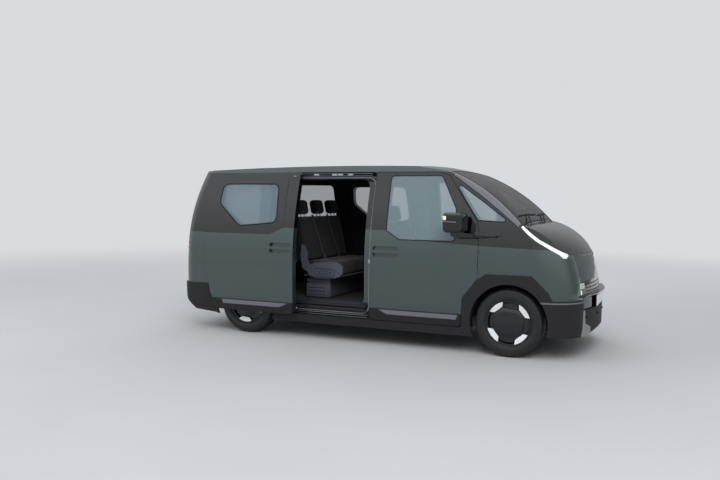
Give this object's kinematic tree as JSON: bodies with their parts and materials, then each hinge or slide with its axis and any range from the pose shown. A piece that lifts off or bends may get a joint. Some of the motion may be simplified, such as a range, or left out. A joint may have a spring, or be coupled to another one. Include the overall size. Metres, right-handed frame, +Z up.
{
  "type": "electric van",
  "caption": "Electric passenger van with a one-box body on a flat battery, one side door slid open, hinged front doors, bonnet and tailgate, and steered, rolling wheels.",
  "frame": {"origin": "on the ground, at the bottom centre of the van's bounding box, midway between nose and tail", "axes": "+X forward to the nose, +Y to the van's left, +Z up"},
  "size_m": [4.6947, 2.36, 1.909],
  "materials": {
    "body_paint": "metallic gloss",
    "black_paint": "gloss",
    "cladding": "grained matt",
    "satin_plate": "satin",
    "frame_metal": "semi-gloss",
    "glass": "clear tinted",
    "dark_glass": "dark tinted",
    "lamp_white": "gloss",
    "lamp_red": "gloss",
    "tyre": "matt",
    "wheel_black": "gloss",
    "casting": "rough",
    "alloy_case": "cast",
    "interior": "grained matt",
    "upholstery": "woven"
  },
  "bodies": {
    "body": {"floor_pan": "frame_metal", "battery_pack": "alloy_case", "drive_motor": "alloy_case", "front_suspension": "casting", "rear_axle": "casting", "side_frame_right": "body_paint", "side_frame_left": "body_paint", "fender_right": "body_paint", "fender_left": "body_paint", "roof_panel": "body_paint", "windscreen": "glass", "cowl_panel": "black_paint", "front_fascia": "body_paint", "front_bumper": "cladding", "rear_bumper": "cladding", "lower_cladding": "cladding", "quarter_glass": "glass", "light_strips": "lamp_white", "headlamps": "lamp_white", "tail_lamps": "lamp_red", "sliding_door_right": "body_paint", "sliding_door_left": "body_paint", "sliding_door_glass": "glass", "dashboard": "interior", "steering_wheel": "interior", "front_seats": "upholstery", "rear_bench": "upholstery", "wheel_houses": "interior", "nose_grilles": "black_paint", "front_lip": "black_paint", "skid_plates": "satin_plate"},
    "bonnet": {"bonnet": "black_paint"},
    "tailgate": {"tailgate": "body_paint", "tailgate_glass": "dark_glass"},
    "door_right": {"front_door_right": "body_paint", "front_door_glass_right": "glass", "mirror_right": "black_paint"},
    "door_left": {"front_door_left": "body_paint", "front_door_glass_left": "glass", "mirror_left": "black_paint"},
    "steering_right": {"knuckle_right": "casting"},
    "steering_left": {"knuckle_left": "casting"},
    "wheel_front_right_body": {"tyre_front_right": "tyre", "wheel_front_right": "wheel_black"},
    "wheel_front_left_body": {"tyre_front_left": "tyre", "wheel_front_left": "wheel_black"},
    "wheel_rear_right_body": {"tyre_rear_right": "tyre", "wheel_rear_right": "wheel_black"},
    "wheel_rear_left_body": {"tyre_rear_left": "tyre", "wheel_rear_left": "wheel_black"}
  },
  "joints": [
    {"name": "steer_right", "type": "hinge", "parent": "body", "child": "steering_right", "pos_m": [1.5725, -0.78, 0.335], "axis": [0, 0, 1], "range_deg": [-35, 35]},
    {"name": "spin_front_right", "type": "hinge", "parent": "steering_right", "child": "wheel_front_right_body", "pos_m": [1.5725, -0.815, 0.335], "axis": [0, 1, 0], "continuous": true},
    {"name": "spin_rear_right", "type": "hinge", "parent": "body", "child": "wheel_rear_right_body", "pos_m": [-1.4225, -0.815, 0.335], "axis": [0, 1, 0], "continuous": true},
    {"name": "front_door_right_hinge", "type": "hinge", "parent": "body", "child": "door_right", "pos_m": [1.262, -0.9405, 0.91], "axis": [0, 0, 1], "range_deg": [0, 65]},
    {"name": "steer_left", "type": "hinge", "parent": "body", "child": "steering_left", "pos_m": [1.5725, 0.78, 0.335], "axis": [0, 0, 1], "range_deg": [-35, 35]},
    {"name": "spin_front_left", "type": "hinge", "parent": "steering_left", "child": "wheel_front_left_body", "pos_m": [1.5725, 0.815, 0.335], "axis": [0, 1, 0], "continuous": true},
    {"name": "spin_rear_left", "type": "hinge", "parent": "body", "child": "wheel_rear_left_body", "pos_m": [-1.4225, 0.815, 0.335], "axis": [0, 1, 0], "continuous": true},
    {"name": "front_door_left_hinge", "type": "hinge", "parent": "body", "child": "door_left", "pos_m": [1.262, 0.9405, 0.91], "axis": [0, 0, -1], "range_deg": [0, 65]},
    {"name": "bonnet_hinge", "type": "hinge", "parent": "body", "child": "bonnet", "pos_m": [1.742, 0, 1.291], "axis": [0, -1, 0], "range_deg": [0, 50]},
    {"name": "tailgate_hinge", "type": "hinge", "parent": "body", "child": "tailgate", "pos_m": [-2.175, 0, 1.8], "axis": [0, 1, 0], "range_deg": [0, 80]}
  ],
  "couplings": [
    {"joint": "steer_left", "follows": "steer_right", "ratio": 1}
  ]
}
